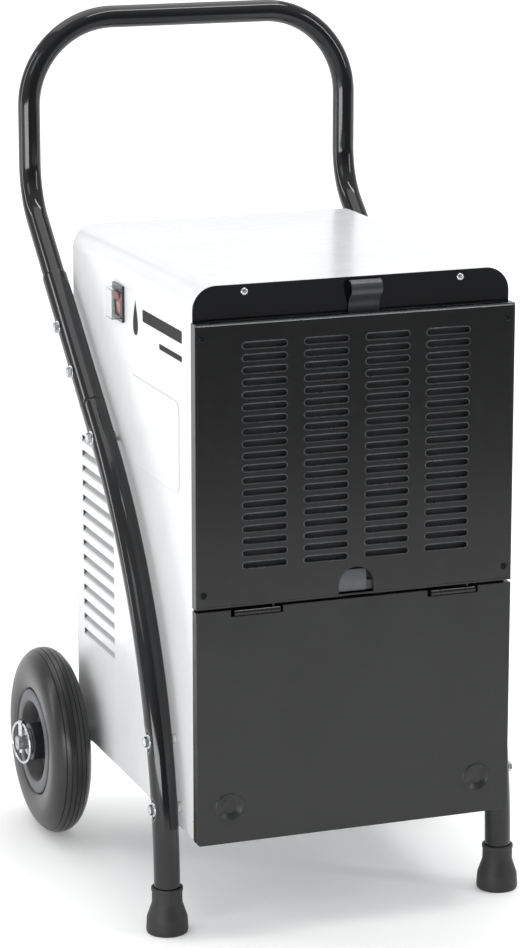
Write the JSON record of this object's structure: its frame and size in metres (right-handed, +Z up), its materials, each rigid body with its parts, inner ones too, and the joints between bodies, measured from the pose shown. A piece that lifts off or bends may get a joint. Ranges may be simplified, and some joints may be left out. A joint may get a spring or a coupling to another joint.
{
  "type": "dehumidifier",
  "caption": "Tall white steel cabinet with black louvred front cover and hinged lower door, carried on a bent black tube trolley with grip bar, large rear wheels and rubber feet.",
  "frame": {"origin": "on the floor under the middle of the overall bounding box", "axes": "+Z up, +X to the machine's right seen from the front, the front cover and door face -Y"},
  "size_m": [0.5, 0.5366, 0.9245],
  "materials": {
    "cover_gloss_black": "gloss",
    "door_satin_black": "satin",
    "white_enamel": "gloss",
    "frame_gloss_black": "gloss",
    "zinc_steel": "zinc plated",
    "black_screw": "satin",
    "galvanised_sheet": "galvanised",
    "coil_aluminium": "satin",
    "copper_tube": "satin",
    "tank_plastic": "satin",
    "white_plastic": "satin",
    "black_plastic": "satin",
    "grey_plastic": "satin",
    "red_plastic": "gloss",
    "clear_plastic": "clear moulded",
    "foot_rubber": "matte",
    "tyre_rubber": "matte",
    "filter_mesh": "woven mesh",
    "board_green": "satin",
    "compressor_black": "satin"
  },
  "bodies": {
    "chassis": {"grille_cover": "cover_gloss_black", "cover_screws": "black_screw", "cover_spacers": "zinc_steel", "frame_hinge_leaves": "cover_gloss_black", "housing_wrap": "white_enamel", "front_panel": "cover_gloss_black", "panel_screws": "zinc_steel", "edge_clips": "clear_plastic", "rear_panel": "white_enamel", "cable_gland": "black_plastic", "base_tray": "galvanised_sheet", "water_tank": "tank_plastic", "bay_wall": "galvanised_sheet", "deck": "galvanised_sheet", "float_bracket": "zinc_steel", "evaporator_fins": "coil_aluminium", "condenser_fins": "coil_aluminium", "coil_end_plates": "galvanised_sheet", "coil_bends": "copper_tube", "drip_tray": "white_plastic", "refrigerant_pipes": "copper_tube", "compressor": "compressor_black", "compressor_mounts": "foot_rubber", "compressor_bolts": "zinc_steel", "fan_shroud": "galvanised_sheet", "fan_motor": "compressor_black", "motor_stand": "galvanised_sheet", "control_box": "white_plastic", "circuit_board": "board_green", "run_capacitor": "white_plastic", "leg_tubes": "frame_gloss_black", "handle_sockets": "frame_gloss_black", "handle_bar": "frame_gloss_black", "leg_bolts": "zinc_steel", "leg_spacers": "white_plastic", "feet": "foot_rubber", "axle": "zinc_steel", "axle_brackets": "galvanised_sheet", "axle_spacers": "zinc_steel", "linch_pins": "zinc_steel", "switch_body": "black_plastic", "splash_cap": "clear_plastic"},
    "door": {"door_panel": "door_satin_black", "door_hinge_leaves": "cover_gloss_black", "hinge_pins": "black_screw"},
    "air_filter": {"filter_frame": "black_plastic", "filter_mesh": "filter_mesh", "filter_tab": "black_plastic", "filter_lip": "grey_plastic"},
    "switch_rocker": {"rocker": "red_plastic"},
    "fan": {"fan_rotor": "black_plastic", "fan_shaft": "zinc_steel"},
    "left_wheel": {"left_tyre": "tyre_rubber", "left_rim": "grey_plastic"},
    "right_wheel": {"right_tyre": "tyre_rubber", "right_rim": "grey_plastic"},
    "left_ring": {"left_linch_ring": "zinc_steel"},
    "right_ring": {"right_linch_ring": "zinc_steel"},
    "float_lever": {"float_arm": "white_plastic", "float_drum": "white_plastic"}
  },
  "joints": [
    {"name": "door_hinge", "type": "hinge", "parent": "chassis", "child": "door", "pos_m": [0, -0.26515, 0.3576], "axis": [-1, 0, 0], "range_deg": [0, 110]},
    {"name": "filter_slide", "type": "slide", "parent": "chassis", "child": "air_filter", "axis": [0, 0, 1], "range_m": [0, 0.25]},
    {"name": "rocker_pivot", "type": "hinge", "parent": "chassis", "child": "switch_rocker", "pos_m": [-0.171, -0.01615, 0.639], "axis": [0, 1, 0], "range_deg": [0, 16]},
    {"name": "fan_spin", "type": "hinge", "parent": "chassis", "child": "fan", "pos_m": [0, -0.11615, 0.512], "axis": [0, 1, 0], "continuous": true},
    {"name": "left_wheel_spin", "type": "hinge", "parent": "chassis", "child": "left_wheel", "pos_m": [-0.2107, 0.14185, 0.106], "axis": [1, 0, 0], "continuous": true},
    {"name": "right_wheel_spin", "type": "hinge", "parent": "chassis", "child": "right_wheel", "pos_m": [0.2107, 0.14185, 0.106], "axis": [1, 0, 0], "continuous": true},
    {"name": "left_ring_hinge", "type": "hinge", "parent": "chassis", "child": "left_ring", "pos_m": [-0.2445, 0.14185, 0.129], "axis": [-0.1564, 0.9877, 0], "range_deg": [0, 170]},
    {"name": "right_ring_hinge", "type": "hinge", "parent": "chassis", "child": "right_ring", "pos_m": [0.2445, 0.14185, 0.129], "axis": [-0.1564, -0.9877, 0], "range_deg": [0, 170]},
    {"name": "float_pivot", "type": "hinge", "parent": "chassis", "child": "float_lever", "pos_m": [-0.09, -0.08815, 0.33], "axis": [-1, 0, 0], "range_deg": [0, 15]}
  ]
}
